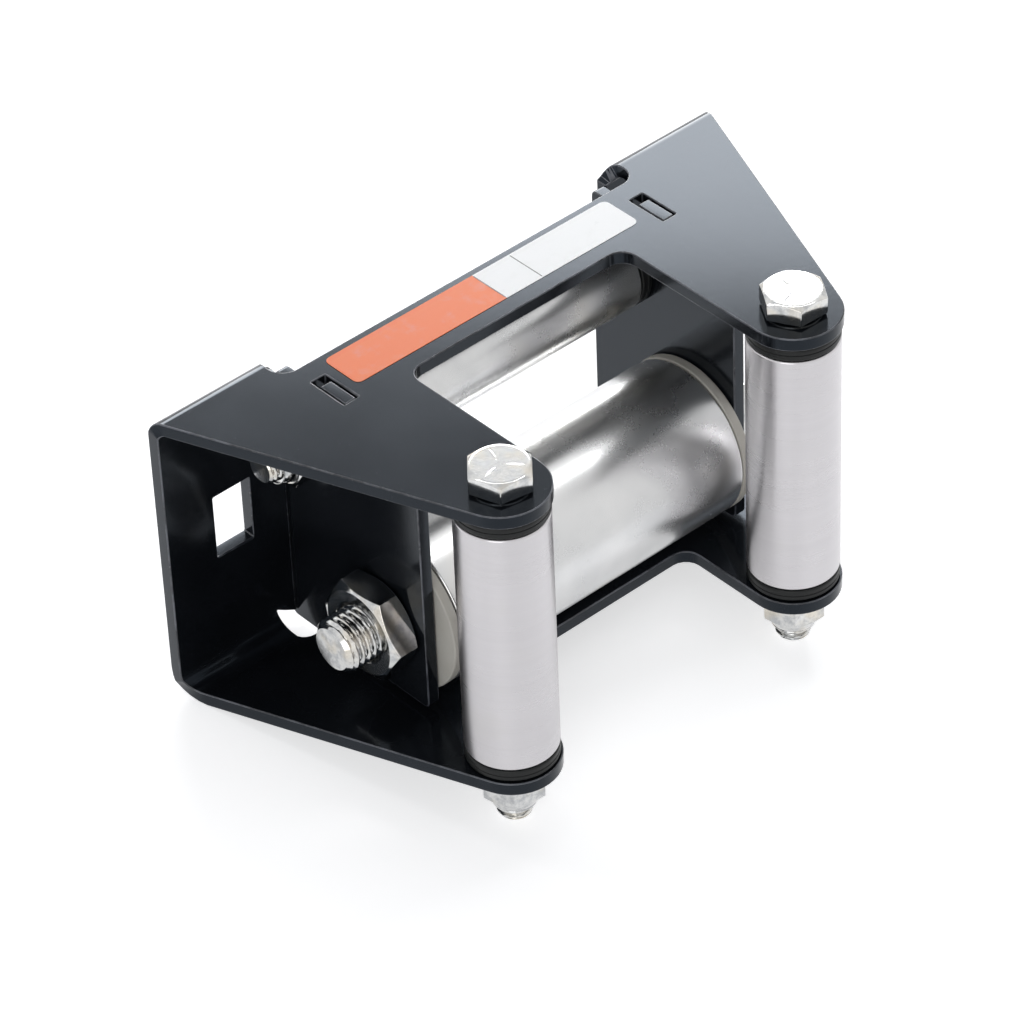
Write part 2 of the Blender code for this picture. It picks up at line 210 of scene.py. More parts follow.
# the sheet's cut edges are painted paler: a painted highlight along the rounded edges, in patches that also
# stand for rubbed wear, with dusty nicks mixed in
def makeEdgeWearAndPaintedHighlight():
    look = coatLook
    finish = Finish("rubbedEdge")
    rubbedAndHighlit = finish.step(finish.noise(look["rubAndHighlightScale"], detail=4, roughness=0.6), *look["rubAndHighlightRange"])
    nicks = finish.step(finish.noise(look["nickScale"], detail=2), *look["nickRange"])
    color = finish.mix(rubbedAndHighlit, look["edgeDark"], look["edgePaintedHighlight"])
    color = finish.mix(nicks * look["nickShare"], color, look["dust"])
    peel = finish.bump(finish.noise(look["peelScale"], detail=2), look["peelDepth"])
    return finish.surface({
        "Base Color": color, "Roughness": look["edgeRoughness"] + nicks * look["nickRough"], "Normal": peel,
    })


steelLook = {
    "dark": (0.53, 0.515, 0.53), "pale": (0.62, 0.605, 0.62), "roughness": 0.20,
    "lineStretch": (22, 22, 3200), "lineShare": 0.55, "lineRough": 0.10, "lineHeight": 0.7,
    "bandStretch": (9, 9, 420), "bandShare": 0.45, "bandHeight": 0.3, "grooveDepth": 0.0035 * mm,
    "handled": (0.56, 0.55, 0.53), "handledScale": 70, "handledRange": (0.56, 0.75),
    "handledShare": 0.25, "handledRough": 0.08, "brushed": 0.75, "brushedTurn": 0.25,
}


# turning lines run round the roller, so the pattern changes quickly along Z and slowly around it
def makeTurnedSteel():
    look = steelLook
    finish = Finish("turnedSteel")
    lines = finish.noise(1.0, detail=3, roughness=0.6, vector=finish.stretched(look["lineStretch"]))
    bands = finish.noise(1.0, detail=2, vector=finish.stretched(look["bandStretch"]))
    handled = finish.noise(look["handledScale"], detail=4, roughness=0.6)
    shares = lines * look["lineShare"] + bands * look["bandShare"]
    color = finish.mix(shares, look["dark"], look["pale"])
    marked = finish.step(handled, *look["handledRange"]) * look["handledShare"]
    color = finish.mix(marked, color, look["handled"])
    roughness = look["roughness"] + lines * look["lineRough"] + handled * look["handledRough"]
    heights = lines * look["lineHeight"] + bands * look["bandHeight"]
    return finish.surface({
        "Base Color": color, "Roughness": roughness, "Normal": finish.bump(heights, look["grooveDepth"]),
        "Metallic": 1.0, "Anisotropic": look["brushed"], "Anisotropic Rotation": look["brushedTurn"],
    })


zincRollerLook = {
    "clear": (0.74, 0.74, 0.74), "dull": (0.57, 0.58, 0.59), "straw": (0.74, 0.66, 0.46),
    "roughness": 0.21, "metal": 0.84, "streakStretch": (30, 260, 260), "streakDepth": 0.004 * mm,
    "cloudScale": 60, "cloudRange": (0.30, 0.80), "cloudShare": 0.7, "cloudRough": 0.08,
    "tingeScale": 38, "tingeRange": (0.50, 0.72), "tingeShare": 0.22,
    "grainScale": 1400, "grainRough": 0.04, "grainDepth": 0.0004 * mm,
}


# bright zinc on drawn tube: streaks along X, cloudy patches and a straw-coloured tinge
def makeZincRoller():
    look = zincRollerLook
    finish = Finish("zincRoller")
    streaks = finish.noise(1.0, detail=4, roughness=0.55, vector=finish.stretched(look["streakStretch"]))
    clouds = finish.step(finish.noise(look["cloudScale"], detail=3), *look["cloudRange"])
    grain = finish.noise(look["grainScale"], detail=3, roughness=0.6)
    tinge = finish.step(finish.noise(look["tingeScale"], detail=2), *look["tingeRange"])
    color = finish.mix(clouds * look["cloudShare"], look["clear"], look["dull"])
    color = finish.mix(tinge * look["tingeShare"], color, look["straw"])
    roughness = look["roughness"] + clouds * look["cloudRough"] + grain * look["grainRough"]
    wavy = finish.bump(streaks, look["streakDepth"])
    pitted = finish.bump(grain, look["grainDepth"], wavy)
    return finish.surface({
        "Base Color": color, "Roughness": roughness, "Normal": pitted, "Metallic": look["metal"],
    })


hardwareLook = {
    "clear": (0.68, 0.68, 0.67), "dull": (0.44, 0.45, 0.46), "straw": (0.68, 0.60, 0.46),
    "roughness": 0.07, "patchScale": 420, "patchRange": (0.36, 0.68), "patchDepth": 0.007 * mm,
    "patchRough": 0.07, "patchRoughRange": (0.38, 0.72), "grainScale": 3200, "grainRough": 0.05,
    "tingeScale": 160, "tingeRange": (0.46, 0.70), "tingeShare": 0.45,
    "dentScale": 1300, "dentDepth": 0.003 * mm,
}


# bolts and nuts: forged, then plated, so small dents show through the bright zinc
def makeHardware():
    look = hardwareLook
    finish = Finish("zincHardware")
    patches = finish.noise(look["patchScale"], detail=5, roughness=0.65)
    grain = finish.noise(look["grainScale"], detail=2, roughness=0.6)
    dents = finish.noise(look["dentScale"], detail=3, roughness=0.6)
    tinge = finish.step(finish.noise(look["tingeScale"], detail=2), *look["tingeRange"])
    color = finish.mix(finish.step(patches, *look["patchRange"]), look["clear"], look["dull"])
    color = finish.mix(tinge * look["tingeShare"], color, look["straw"])
    rougher = finish.step(patches, *look["patchRoughRange"]) * look["patchRough"]
    roughness = look["roughness"] + rougher + grain * look["grainRough"]
    forged = finish.bump(patches, look["patchDepth"])
    dented = finish.bump(dents, look["dentDepth"], forged)
    return finish.surface({"Base Color": color, "Roughness": roughness, "Normal": dented, "Metallic": 1.0})


plasticLook = {
    "flowScale": 190, "flowRough": 0.12, "grainScale": 2400, "grainDepth": 0.006 * mm,
    "scuffScale": 700, "scuffRange": (0.62, 0.78), "scuffShare": 0.16, "scuffRough": 0.1,
    "scuff": (0.35, 0.34, 0.33),
}
blackLook = {"dark": (0.008, 0.009, 0.009), "pale": (0.014, 0.015, 0.015), "roughness": 0.36, "gloss": 0.26}
creamLook = {"dark": (0.62, 0.59, 0.52), "pale": (0.74, 0.72, 0.66), "roughness": 0.42, "gloss": 0.45}


def makePlastic(name, tones):
    look = plasticLook
    finish = Finish(name)
    flow = finish.noise(look["flowScale"], detail=4, roughness=0.6)
    grain = finish.noise(look["grainScale"], detail=2)
    scuffs = finish.step(finish.noise(look["scuffScale"], detail=4, roughness=0.7), *look["scuffRange"])
    color = finish.mix(flow, tones["dark"], tones["pale"])
    color = finish.mix(scuffs * look["scuffShare"], color, look["scuff"])
    roughness = tones["roughness"] + flow * look["flowRough"] + scuffs * look["scuffRough"]
    return finish.surface({
        "Base Color": color, "Roughness": roughness,
        "Normal": finish.bump(grain, look["grainDepth"]), "Specular IOR Level": tones["gloss"],
    })


decalSizes = {
    "left": -40.8 * mm, "right": 39.6 * mm, "front": -22.0 * mm, "rear": -10.9 * mm,
    "thick": 0.12 * mm, "corner": 1.6 * mm, "steps": 6, "edge": 0.05 * mm, "edgeAngle": 60, "sharp": 40,
    "orangeEnds": 1.0 * mm, "panelEnds": 11.5 * mm, "line": 0.30 * mm, "rim": 0.45 * mm, "inkShare": 0.85,
    "orange": (0.79, 0.150, 0.024), "white": (0.80, 0.81, 0.82), "ink": (0.045, 0.045, 0.05),
    "gloss": 0.22, "roughness": 0.24, "filmScale": 300, "filmRough": 0.14,
    "worn": (0.55, 0.54, 0.52), "wornScale": 240, "wornRange": (0.5, 0.8), "wornShare": 0.12,
    "rippleScale": 500, "rippleDepth": 0.004 * mm,
}


# blank printed vinyl: an orange field, a white field and two thin dark rules, one between the fields
def makeDecalVinyl():
    sizes = decalSizes
    finish = Finish("decalVinyl")
    apart = finish.node("ShaderNodeSeparateXYZ", {}, {0: finish.place})
    x = finish.value(apart, "X")
    y = finish.value(apart, "Y")
    field = x > sizes["orangeEnds"]
    color = finish.mix(field, sizes["orange"], sizes["white"])
    edge = (x - sizes["left"]).low(sizes["right"] - x).low(y - sizes["front"]).low(sizes["rear"] - y)
    firstRule = (x - sizes["orangeEnds"]).one("ABSOLUTE")
    secondRule = (x - sizes["panelEnds"]).one("ABSOLUTE")
    rules = (sizes["line"] / 2 > firstRule.low(secondRule)) * (edge > sizes["rim"])
    color = finish.mix(rules * sizes["inkShare"], color, sizes["ink"])
    worn = finish.step(finish.noise(sizes["wornScale"], detail=4, roughness=0.6), *sizes["wornRange"])
    color = finish.mix(worn * sizes["wornShare"], color, sizes["worn"])
    roughness = sizes["roughness"] + finish.noise(sizes["filmScale"], detail=3) * sizes["filmRough"]
    ripples = finish.bump(finish.noise(sizes["rippleScale"], detail=2), sizes["rippleDepth"])
    return finish.surface({
        "Base Color": color, "Roughness": roughness, "Normal": ripples,
        "Specular IOR Level": sizes["gloss"],
    })


coat = makeCoat()
edgeWearAndPaintedHighlight = makeEdgeWearAndPaintedHighlight()
turnedSteel = makeTurnedSteel()
zincRoller = makeZincRoller()
zincHardware = makeHardware()
blackPlastic = makePlastic("blackPlastic", blackLook)
creamPlastic = makePlastic("creamPlastic", creamLook)
decalVinyl = makeDecalVinyl()
print("finishes made")


# Mesh helpers

# the plain mesh that an object's modifiers give; the object itself goes
def settled(maker):
    bpy.context.view_layer.update()
    graph = bpy.context.evaluated_depsgraph_get()
    mesh = bpy.data.meshes.new_from_object(maker.evaluated_get(graph))
    bpy.data.objects.remove(maker)
    return mesh


def makerOf(mesh):
    maker = bpy.data.objects.new("maker", mesh)
    scene.collection.objects.link(maker)
    return maker


def meshOf(shape):
    bmesh.ops.recalc_face_normals(shape, faces=shape.faces[:])
    mesh = bpy.data.meshes.new("shape")
    shape.to_mesh(mesh)
    shape.free()
    return mesh


# rounds every edge sharper than the angle; the rounded faces may get a material slot of their own, and the
# clamp holds all of them to what the shortest edge allows
def softened(mesh, width, angle, segments=2, edgeSlot=-1, clamp=True):
    maker = makerOf(mesh)
    bevel = maker.modifiers.new("edges", "BEVEL")
    bevel.width = width
    bevel.segments = segments
    bevel.limit_method = "ANGLE"
    bevel.angle_limit = math.radians(angle)
    bevel.miter_outer = "MITER_ARC"
    bevel.use_clamp_overlap = clamp
    bevel.material = edgeSlot
    return settled(maker)


flatFaceWeight = 90
turnedSharp = 28


# smooth shading in which the large faces stay flat and only their rounded edges turn
def evened(mesh, sharp):
    mesh.shade_smooth()
    mesh.set_sharp_from_angle(angle=math.radians(sharp))
    maker = makerOf(mesh)
    weighted = maker.modifiers.new("normals", "WEIGHTED_NORMAL")
    weighted.mode = "FACE_AREA"
    weighted.weight = flatFaceWeight
    weighted.keep_sharp = True
    return settled(maker)


def joined(meshes):
    shape = bmesh.new()
    for mesh in meshes:
        shape.from_mesh(mesh)
    whole = bpy.data.meshes.new("whole")
    shape.to_mesh(whole)
    shape.free()
    return whole


def addPiece(name, mesh, materials, body, stands=None, sharp=turnedSharp):
    if list(mesh.materials) != materials:
        mesh.materials.clear()
        for material in materials:
            mesh.materials.append(material)
    mesh = evened(mesh, sharp)
    mesh.name = name
    piece = bpy.data.objects.new(name, mesh)
    scene.collection.objects.link(piece)
    if stands:
        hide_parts(stands)
    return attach(piece, body)


def camelName(node):
    first, *rest = node.split("_")
    return first + "".join(word.capitalize() for word in rest)


# an outline of (radius, height, fillet) corners with each fillet drawn as an arc
def filleted(corners, steps=4):
    outline = []
    for i, (radius, height, fillet) in enumerate(corners):
        here = Vector((radius, height))
        if not fillet:
            outline.append(here)
            continue
        back = (Vector(corners[i - 1][:2]) - here).normalized()
        ahead = (Vector(corners[(i + 1) % len(corners)][:2]) - here).normalized()
        half = back.angle(ahead) / 2
        center = here + (back + ahead).normalized() * fillet / math.sin(half)
        start = here + back * fillet / math.tan(half) - center
        end = here + ahead * fillet / math.tan(half) - center
        first = math.atan2(start.y, start.x)
        turn = (math.atan2(end.y, end.x) - first + math.pi) % (2 * math.pi) - math.pi
        for k in range(steps + 1):
            angle = first + turn * k / steps
            outline.append(center + fillet * Vector((math.cos(angle), math.sin(angle))))
    return outline


# skins a stack of rings; a ring of one point is a pole, and a hollow body joins its last ring to its first
def skinned(rings, hollow):
    shape = bmesh.new()
    loops = [[shape.verts.new(point) for point in ring] for ring in rings]
    pairs = list(zip(loops, loops[1:]))
    if hollow:
        pairs.append((loops[-1], loops[0]))
    for low, high in pairs:
        steps = max(len(low), len(high))
        for k in range(steps):
            if len(low) == 1:
                shape.faces.new((low[0], high[k], high[k - 1]))
            elif len(high) == 1:
                shape.faces.new((low[k - 1], low[k], high[0]))
            else:
                shape.faces.new((low[k - 1], low[k], high[k], high[k - 1]))
    return meshOf(shape)


def turned(profile, steps, hollow):
    rings = []
    for radius, height in profile:
        count = steps if radius else 1
        angles = [2 * math.pi * k / steps for k in range(count)]
        rings.append([(radius * math.cos(a), radius * math.sin(a), height) for a in angles])
    return skinned(rings, hollow)


# Bracket and side plates: the CAD sheet with laser-cut edges rounded by their coat

sheetEdges = {
    "merge": 0.002 * mm, "flat": 0.5, "shortest": 0.26 * mm, "round": 0.28 * mm, "angle": 40, "segments": 3,
    "sharp": 35, "edgeSlot": 1,
}


# the sheet's flat faces are made whole and its shortest edges merged, so that the rounding runs evenly
def coatedSheet(node):
    sizes = sheetEdges
    flat = math.radians(sizes["flat"])
    shape = bmesh.new()
    shape.from_mesh(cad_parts[node].data)
    bmesh.ops.remove_doubles(shape, verts=shape.verts[:], dist=sizes["merge"])
    bmesh.ops.dissolve_limit(shape, angle_limit=flat, verts=shape.verts[:], edges=shape.edges[:])
    bmesh.ops.remove_doubles(shape, verts=shape.verts[:], dist=sizes["shortest"])
    mesh = meshOf(shape)
    mesh.materials.append(coat)
    # the rounded edge faces get this second slot, a painted highlight with rubbed wear
    mesh.materials.append(edgeWearAndPaintedHighlight)
    return softened(mesh, sizes["round"], sizes["angle"], sizes["segments"], sizes["edgeSlot"], clamp=False)


for node, name in (
    ("bracket", "foldedBracket"),
    ("left_side_plate", "leftSidePlate"),
    ("right_side_plate", "rightSidePlate"),
):
    mesh = coatedSheet(node)
    addPiece(name, mesh, [coat, edgeWearAndPaintedHighlight], "bracket_frame", node, sheetEdges["sharp"])
print("sheet pieces made")


# Threads and head marks, as node trees

class Maker(Tree):
    def __init__(self, name, inputs):
        super().__init__(bpy.data.node_groups.new(name, "GeometryNodeTree"))
        self.tree.interface.new_socket(name="Geometry", in_out="OUTPUT", socket_type="NodeSocketGeometry")
        self.names = {}
        for label, kind in inputs.items():
            made = self.tree.interface.new_socket(name=label, in_out="INPUT", socket_type=kind)
            self.names[label] = made.identifier
        self.inputs = self.node("NodeGroupInput")

    def given(self, label):
        return Value(self, self.inputs.outputs[label])

    def finish(self, geometry, material):
        whole = self.node("GeometryNodeRealizeInstances", {}, {"Geometry": geometry})
        dressed = self.node("GeometryNodeSetMaterial", {}, {
            "Geometry": whole.outputs[0], "Material": material})
        self.node("NodeGroupOutput", {}, {"Geometry": dressed.outputs[0]})

    def make(self, settings):
        maker = makerOf(bpy.data.meshes.new("blank"))
        modifier = maker.modifiers.new("nodes", "NODES")
        modifier.node_group = self.tree
        for label, value in settings.items():
            modifier[self.names[label]] = value
        return settled(maker)


threadShape = {"steep": 1.5, "valley": 0.22, "noseSlope": 0.9}


# a rod whose wall rises and falls along a helix, with its tip at zero and its length along Z
def makeThreadTree():
    tree = Maker("rolledThread", {
        "Radius": "NodeSocketFloat", "Pitch": "NodeSocketFloat", "Depth": "NodeSocketFloat",
        "Length": "NodeSocketFloat", "Chamfer": "NodeSocketFloat", "Around": "NodeSocketInt",
        "Rows": "NodeSocketInt",
    })
    length = tree.given("Length")
    rod = tree.node("GeometryNodeMeshCylinder", {"fill_type": "NGON"}, {
        "Vertices": tree.given("Around"), "Side Segments": tree.given("Rows"),
        "Radius": tree.given("Radius"), "Depth": length,
    })
    place = tree.node("ShaderNodeSeparateXYZ", {}, {0: tree.node("GeometryNodeInputPosition").outputs[0]})
    x, y, z = (tree.value(place, axis) for axis in "XYZ")
    around = x.pair("ARCTAN2", y, x) / (2 * math.pi)
    phase = (z / tree.given("Pitch") - around).one("FRACT")
    wave = (2 * phase - 1).one("ABSOLUTE")
    ridge = (wave * threadShape["steep"] - threadShape["valley"]).high(0.0).low(1.0)
    crest = tree.given("Radius") - tree.given("Depth") * (1 - ridge)
    fromTip = z + length / 2
    nose = tree.given("Radius") - tree.given("Chamfer") + fromTip * threadShape["noseSlope"]
    factor = crest.low(nose) / tree.given("Radius")
    moved = tree.node("ShaderNodeCombineXYZ", {}, {"X": x * factor, "Y": y * factor, "Z": fromTip})
    shaped = tree.node("GeometryNodeSetPosition", {}, {
        "Geometry": rod.outputs[0], "Position": moved.outputs[0]})
    tree.finish(shaped.outputs[0], zincHardware)
    return tree


# low rounded ridges that point out from the middle of a bolt's head, the usual strength marks
def makeHeadMarkTree():
    tree = Maker("headMarks", {
        "Count": "NodeSocketInt", "Radius": "NodeSocketFloat", "Length": "NodeSocketFloat",
        "Width": "NodeSocketFloat", "Height": "NodeSocketFloat", "Turn": "NodeSocketFloat",
    })
    ring = tree.node("GeometryNodeMeshCircle", {}, {
        "Vertices": tree.given("Count"), "Radius": tree.given("Radius")})
    index = tree.value(tree.node("GeometryNodeInputIndex"))
    turn = index * (2 * math.pi) / tree.given("Count")
    grain = tree.node("GeometryNodeMeshUVSphere", {}, {"Segments": 16, "Rings": 8, "Radius": 0.5})
    size = tree.node("ShaderNodeCombineXYZ", {}, {
        "X": tree.given("Length"), "Y": tree.given("Width"), "Z": tree.given("Height")})
    facing = tree.node("ShaderNodeCombineXYZ", {}, {"Z": turn})
    marks = tree.node("GeometryNodeInstanceOnPoints", {}, {
        "Points": ring.outputs[0], "Instance": grain.outputs[0], "Rotation": facing.outputs[0],
        "Scale": size.outputs[0]})
    whole = tree.node("ShaderNodeCombineXYZ", {}, {"Z": tree.given("Turn")})
    aligned = tree.node("GeometryNodeTransform", {}, {
        "Geometry": marks.outputs[0], "Rotation": whole.outputs[0]})
    tree.finish(aligned.outputs[0], zincHardware)
    return tree


threadTree = makeThreadTree()
headMarkTree = makeHeadMarkTree()
print("thread and mark trees made")


# Hexagons

hexCut = {
    "faceShare": 0.95, "slope": math.tan(math.radians(28)), "cornerRound": 0.25 * mm, "cornerSteps": 4,
    "perFlat": 10, "sharp": 30,
}


def hexOutline(acrossFlats):
    corner = acrossFlats / 2 / math.cos(math.pi / 6)
    corners = []
    for k in range(6):
        angle = k * math.pi / 3
        corners.append((corner * math.cos(angle), corner * math.sin(angle), hexCut["cornerRound"]))
    steps = hexCut["cornerSteps"]
    rounded = filleted(corners, steps)
    outline = []
    for k, point in enumerate(rounded):
        outline.append(point)
        if k % (steps + 1) == steps:  # the last point of a corner's arc, so a flat follows
            ahead = rounded[(k + 1) % len(rounded)]
            outline += [point.lerp(ahead, j / hexCut["perFlat"]) for j in range(1, hexCut["perFlat"])]
    return outline


# a ring on the hexagon's walls; cut is 1 where a cone takes the upper corners off and -1 for the lower ones
def hexRing(outline, acrossFlats, height, cut):
    face = acrossFlats / 2 * hexCut["faceShare"]
    return [(p.x, p.y, height - cut * max(0.0, p.length - face) * hexCut["slope"]) for p in outline]


def roundRing(outline, radius, height):
    return [(p.x / p.length * radius, p.y / p.length * radius, height) for p in outline]


def placed(mesh, center, level):
    stand = Matrix.Rotation(math.pi / 2, 4, "Y") if level else Matrix.Identity(4)
    mesh.transform(Matrix.Translation(center) @ stand)
    return mesh


# Rollers and their fittings, each from its CAD solid's box

turnSteps = {"roller": 128, "bushing": 96, "shank": 64}
runningGap = 0.3 * mm
grooveShape = {"wide": 0.30 * mm, "deep": 0.35 * mm, "nick": 0.10 * mm}
boltShape = {
    "topShare": 0.93, "edge": 0.14 * mm, "edgeAngle": 20, "threadPastNut": 11 * mm,
    "markPlace": 0.52, "markLength": 0.62, "markWidth": 0.05, "markHeight": 0.24 * mm, "markTurn": 0.4,
}
nutShape = {
    "boreGap": 0.12 * mm, "dish": 0.5 * mm, "outerDish": 0.85 * mm, "edge": 0.12 * mm, "edgeAngle": 22,
    "collarShare": 0.86, "insertRim": 0.9 * mm, "insertWall": 0.7 * mm, "insertDeep": 0.3 * mm,
    "collarSteps": ((1.0, 0.0), (0.985, 0.35), (0.95, 0.60), (0.89, 0.82), (0.81, 1.0)),
}
smallKind = {
    "wall": 2.6 * mm, "edge": 0.45 * mm, "flange": 2.8 * mm, "flangeRound": 0.45 * mm,
    "groove": 1.15 * mm,
    "bolt": 8.0 * mm, "hex": 13.2 * mm, "head": 5.0 * mm, "washer": 0.4 * mm,
    "nut": 7.1 * mm, "collar": 2.9 * mm, "pitch": 1.25 * mm, "depth": 0.70 * mm,
    "tipCut": 0.75 * mm, "around": 56, "perPitch": 10, "marks": 3,
}
largeKind = {
    "wall": 3.0 * mm, "edge": 0.5 * mm, "flange": 2.4 * mm, "flangeRound": 0.4 * mm,
    "groove": 0.0,
    "bolt": 12.8 * mm, "hex": 21.3 * mm, "head": 8.0 * mm, "washer": 0.5 * mm,
    "nut": 7.0 * mm, "collar": 0.0, "pitch": 1.60 * mm, "depth": 0.85 * mm,
    "tipCut": 1.4 * mm, "around": 72, "perPitch": 12, "marks": 3,
}


# the middle of a round solid, its length along its axis and its radius
def middleAndSize(node, axis):
    low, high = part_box(node)
    size = high - low
    return (low + high) / 2, size[axis], size.y / 2


def rollerMesh(kind, length, radius):
    half = length / 2
    bore = radius - kind["wall"]
    edge = kind["edge"]
    corners = [(bore, -half, edge / 2), (radius, -half, edge), (radius, half, edge), (bore, half, edge / 2)]
    return turned(filleted(corners), turnSteps["roller"], True)


# the outer face of the flange is at zero and the sleeve points along Z
def bushingMesh(kind, radius, length):
    bore = kind["bolt"] / 2 + runningGap
    sleeve = radius - kind["wall"] - runningGap
    soft = kind["flangeRound"]
    corners = [(bore, 0, soft), (radius, 0, soft)]
    if kind["groove"]:
        nick = grooveShape["nick"]
        start = kind["groove"]
        end = start + grooveShape["wide"]
        bottom = radius - grooveShape["deep"]
        corners += [(radius, start, nick), (bottom, (start + end) / 2, nick), (radius, end, nick)]
    corners += [
        (radius, kind["flange"], soft), (sleeve, kind["flange"], 0),
        (sleeve, length, soft / 2), (bore, length, soft / 2),
    ]
    return turned(filleted(corners), turnSteps["bushing"], True)


# the seat is at zero, the head above it and the shank below
def boltMesh(kind, length, headTurn):
    radius = kind["bolt"] / 2
    flats = kind["hex"]
    face = flats / 2 * hexCut["faceShare"]
    outline = hexOutline(flats)
    top = kind["head"]
    rings = [
        [(0, 0, 0)], roundRing(outline, face, 0), roundRing(outline, face, kind["washer"]),
        hexRing(outline, flats, kind["washer"], 0), hexRing(outline, flats, top, 1),
        roundRing(outline, face, top), roundRing(outline, face * boltShape["topShare"], top), [(0, 0, top)],
    ]
    head = softened(skinned(rings, False), boltShape["edge"], boltShape["edgeAngle"])
    head.transform(Matrix.Rotation(headTurn, 4, "Z"))
    marks = headMarkTree.make({
        "Count": kind["marks"], "Radius": face * boltShape["markPlace"],
        "Length": face * boltShape["markLength"], "Width": boltShape["markWidth"] * flats,
        "Height": boltShape["markHeight"], "Turn": headTurn + boltShape["markTurn"],
    })
    marks.transform(Matrix.Translation((0, 0, top)))
    threadLength = kind["nut"] + kind["collar"] + boltShape["threadPastNut"]
    thread = threadTree.make({
        "Radius": radius, "Pitch": kind["pitch"], "Depth": kind["depth"], "Length": threadLength,
        "Chamfer": kind["tipCut"], "Around": kind["around"],
        "Rows": round(threadLength / kind["pitch"] * kind["perPitch"]),
    })
    thread.transform(Matrix.Translation((0, 0, -length)))
    shankEnd = threadLength - length
    shankProfile = [(0, shankEnd), (radius, shankEnd), (radius, 0), (0, 0)]
    shank = turned(shankProfile, turnSteps["shank"], False)
    return joined([head, marks, thread, shank])


# the seat is at zero and the nut points down
def nutMesh(kind, turn):
    flats = kind["hex"]
    face = flats / 2 * hexCut["faceShare"]
    bore = kind["bolt"] / 2 + nutShape["boreGap"]
    outline = hexOutline(flats)
    low = -kind["nut"]
    dish = nutShape["dish"]
    outerDish = nutShape["outerDish"]
    rings = [
        roundRing(outline, bore, -dish), roundRing(outline, bore + dish, 0), roundRing(outline, face, 0),
        hexRing(outline, flats, 0, 1), hexRing(outline, flats, low, -1), roundRing(outline, face, low),
    ]
    if kind["collar"]:
        end = low - kind["collar"]
        insert = end + nutShape["insertDeep"]
        collar = flats / 2 * nutShape["collarShare"]
        for share, drop in nutShape["collarSteps"]:
            rings.append(roundRing(outline, collar * share, low + (end - low) * drop))
        rings += [
            roundRing(outline, bore + nutShape["insertRim"], end),
            roundRing(outline, bore + nutShape["insertWall"], insert), roundRing(outline, bore, insert),
        ]
    else:
        rings += [roundRing(outline, bore + outerDish, low), roundRing(outline, bore, low + outerDish)]
    nut = softened(skinned(rings, True), nutShape["edge"], nutShape["edgeAngle"])
    nut.transform(Matrix.Rotation(turn, 4, "Z"))
    return nut


# the turns are those of the bolt's head and of its nut
rollerSets = (
    {"name": "vertical_left", "kind": smallKind, "level": False, "turns": (49, 49)},
    {"name": "vertical_right", "kind": smallKind, "level": False, "turns": (58, 49)},
    {"name": "lower", "kind": largeKind, "level": True, "turns": (30, 30)},
    {"name": "upper", "kind": smallKind, "level": True, "turns": (30, 30)},
)

for rollerSet in rollerSets:
    name, kind, level = rollerSet["name"], rollerSet["kind"], rollerSet["level"]
    large = kind is largeKind
    axis = 0 if level else 2
    along = Vector((1, 0, 0)) if level else Vector((0, 0, 1))
    ends = ("left", "right") if level else ("bottom", "top")
    spinner = name + "_spinner"

    node = name + "_roller"
    center, length, radius = middleAndSize(node, axis)
    mesh = placed(rollerMesh(kind, length, radius), center, level)
    steel, slotName = (zincRoller, "zinc_plate") if level else (turnedSteel, "turned_steel")
    addPiece(camelName(node), mesh, [steel], spinner, node)

    for end, side in zip(ends, (-1, 1)):
        node = name + "_bushing_" + end
        bushingCenter, bushingLength, bushingRadius = middleAndSize(node, axis)
        mesh = bushingMesh(kind, bushingRadius, bushingLength)
        if side > 0:
            mesh.transform(Matrix.Rotation(math.pi, 4, "X"))
        mesh = placed(mesh, bushingCenter + along * side * bushingLength / 2, level)
        plastic, slotName = (creamPlastic, "cream_plastic") if large else (blackPlastic, "black_plastic")
        addPiece(camelName(node), mesh, [plastic], spinner, node)

    headTurn, nutTurn = (math.radians(turn) for turn in rollerSet["turns"])
    node = name + "_bolt"
    low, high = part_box(node)
    seat = high[axis] - kind["head"]
    seatPlace = Vector(center)
    seatPlace[axis] = seat
    mesh = placed(boltMesh(kind, seat - low[axis], headTurn), seatPlace, level)
    addPiece(camelName(node), mesh, [zincHardware], "bracket_frame", node, hexCut["sharp"])

    node = name + "_nut"
    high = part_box(node)[1]
    nutPlace = Vector(center)
    nutPlace[axis] = high[axis]
    mesh = placed(nutMesh(kind, nutTurn), nutPlace, level)
    addPiece(camelName(node), mesh, [zincHardware], "bracket_frame", node, hexCut["sharp"])
    print("roller set made:", name)


# Blank decal on the rear bar

def makeDecal():
    sizes = decalSizes
    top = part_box("bracket")[1].z
    corners = [
        (sizes["left"], sizes["front"], sizes["corner"]), (sizes["right"], sizes["front"], sizes["corner"]),
        (sizes["right"], sizes["rear"], sizes["corner"]), (sizes["left"], sizes["rear"], sizes["corner"]),
    ]
    outline = filleted(corners, sizes["steps"])
    shape = bmesh.new()
    loops = []
    for height in (0.0, sizes["thick"]):
        loops.append([shape.verts.new((p.x, p.y, top + height)) for p in outline])
    shape.faces.new(loops[0][::-1])
    shape.faces.new(loops[1])
    for k in range(len(outline)):
        shape.faces.new((loops[0][k - 1], loops[0][k], loops[1][k], loops[1][k - 1]))
    mesh = softened(meshOf(shape), sizes["edge"], sizes["edgeAngle"])
    addPiece("blankDecal", mesh, [decalVinyl], "bracket_frame", sharp=sizes["sharp"])


makeDecal()
print("decal made")


# Studio: a pale floor under the bolt ends and the rear bend, soft lights and the camera

floorSet = {
    "frontTouch": (-63.7 * mm, -55.0 * mm), "rearTouch": (-8.0 * mm, -33.1 * mm, 8.0 * mm),
    "radius": 0.42, "steps": 64, "gap": 0.05 * mm, "color": (0.86, 0.86, 0.87), "patch": (0.84, 0.84, 0.85),
    "patchScale": 9, "patchShare": 0.3, "lift": 0.60,
}


